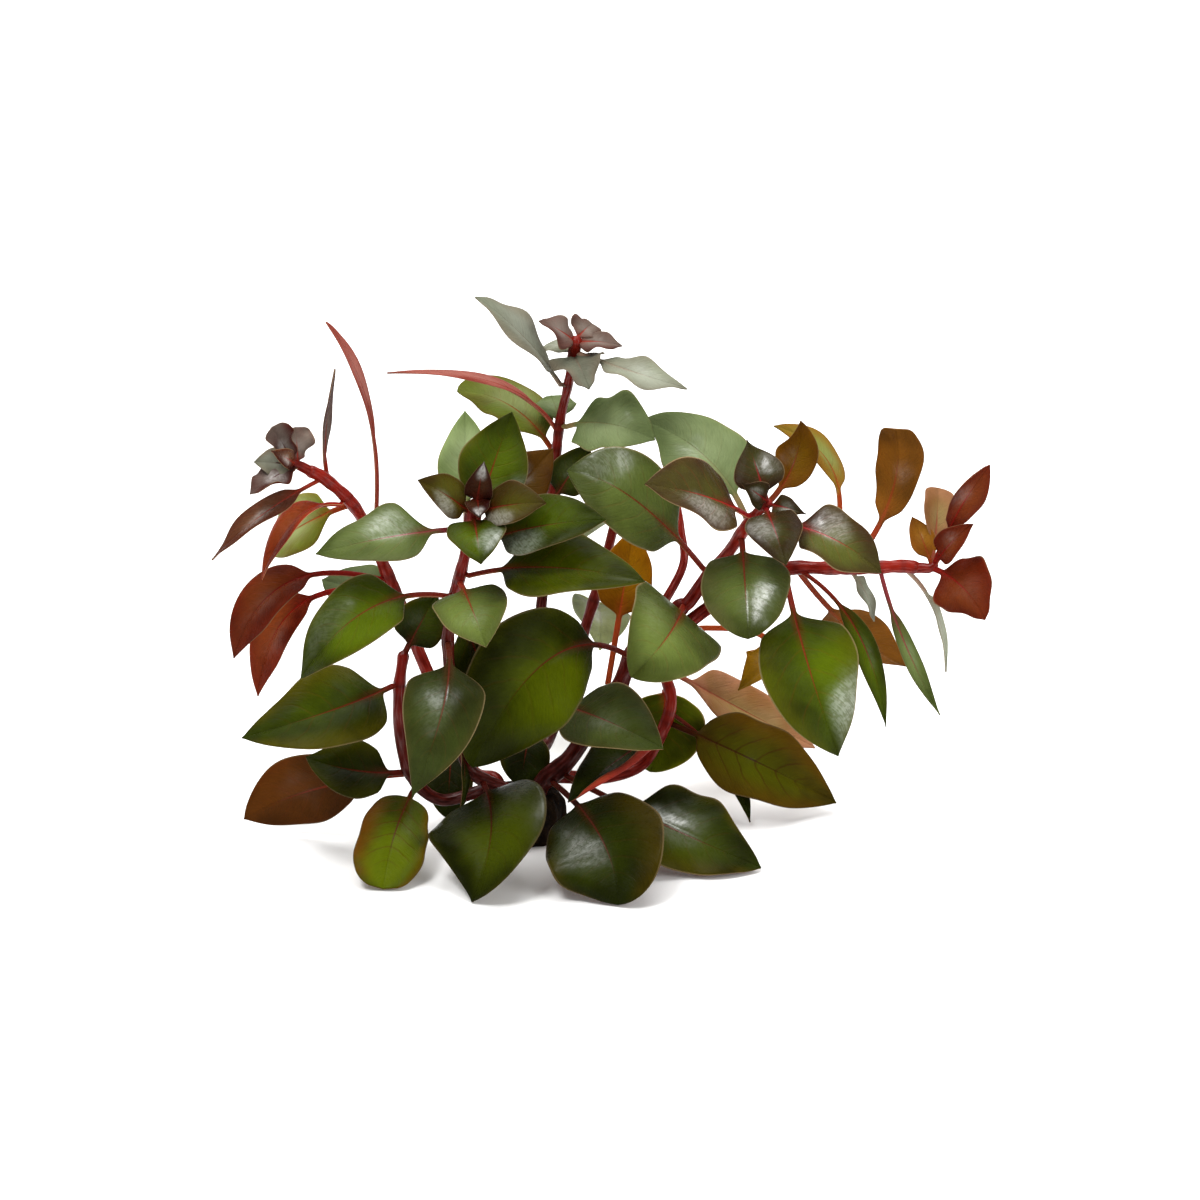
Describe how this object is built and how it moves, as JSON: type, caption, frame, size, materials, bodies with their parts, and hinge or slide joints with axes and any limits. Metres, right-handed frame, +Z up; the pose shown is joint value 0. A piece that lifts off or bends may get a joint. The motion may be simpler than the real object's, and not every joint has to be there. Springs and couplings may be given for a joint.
{
  "type": "ludwigia repens plant",
  "caption": "Bushy clump of red-stemmed aquarium plant with oval green and red leaves on spreading stems, cut flat at ground level to stand on a surface.",
  "frame": {"origin": "middle of the rootstock's flat cut underside, on the surface that the clump stands on", "axes": "+Z up, +X along the clump's widest spread (to the right in the picture), +Y away from the picture's camera"},
  "size_m": [0.1388, 0.102, 0.096],
  "materials": {
    "crown": "rough dark root bark",
    "red": "smooth, bright red, faintly ridged",
    "maroon": "smooth, dark red, faintly ridged",
    "yellow_leaf": "satin yellow-green",
    "red_leaf": "smooth, bright red, faintly ridged",
    "hazy_leaf": "satin pale green",
    "green_leaf": "glossy mid green with a red midrib",
    "orange_leaf": "satin orange-brown underside",
    "grey_leaf": "glossy green with a broad silver-grey sheen",
    "bright_leaf": "glossy bright green with light through it",
    "dark_leaf": "glossy dark green with a silver sheen",
    "young_leaf": "glossy purple-brown with a grey sheen",
    "bronze_leaf": "glossy bronze green"
  },
  "bodies": {
    "root": {"crown": "crown", "left_stem": "red", "lower_left_stem": "maroon", "centre_stem": "maroon", "top_stem": "maroon", "right_stem": "maroon", "right_branch": "red", "right_runner": "red", "upper_stem": "red", "curved_stem": "red", "back_stem": "maroon", "left_tip": "red", "centre_tip": "red", "top_tip": "red", "right_tip": "red", "runner_tip": "red", "left_back_leaf": "yellow_leaf", "left_inner_red_leaf": "red_leaf", "left_upper_red_leaf": "red_leaf", "left_lower_red_leaf": "red_leaf", "left_pale_leaf": "hazy_leaf", "centre_upright_leaf": "green_leaf", "centre_back_leaf": "hazy_leaf", "centre_brown_leaf": "orange_leaf", "glossy_right_leaf": "green_leaf", "left_arm_leaf": "grey_leaf", "broad_right_leaf": "bright_leaf", "front_heart_leaf": "green_leaf", "left_lobe_leaf": "green_leaf", "front_drop_leaf": "dark_leaf", "large_left_leaf": "green_leaf", "low_dark_leaf": "dark_leaf", "low_orange_leaf": "orange_leaf", "low_yellow_leaf": "yellow_leaf", "large_front_leaf": "bright_leaf", "grey_leaf": "grey_leaf", "right_heart_leaf": "green_leaf", "orange_leaf": "orange_leaf", "large_upper_leaf": "grey_leaf", "right_left_leaf": "young_leaf", "right_right_leaf": "bronze_leaf", "round_down_leaf": "green_leaf", "brown_upright_leaf": "orange_leaf", "pale_right_leaf": "hazy_leaf", "large_hanging_leaf": "dark_leaf", "arching_leaf": "yellow_leaf", "back_orange_leaf": "orange_leaf", "low_back_leaf": "orange_leaf", "upright_orange_leaf": "orange_leaf", "top_left_leaf": "grey_leaf", "hazy_left_leaf": "hazy_leaf", "hazy_middle_leaf": "hazy_leaf", "low_front_leaf": "bright_leaf", "low_round_leaf": "dark_leaf", "low_right_leaf": "green_leaf", "curled_leaf": "dark_leaf", "middle_right_leaf": "green_leaf", "large_low_leaf": "bronze_leaf", "pink_back_leaf": "red_leaf"}
  },
  "joints": []
}
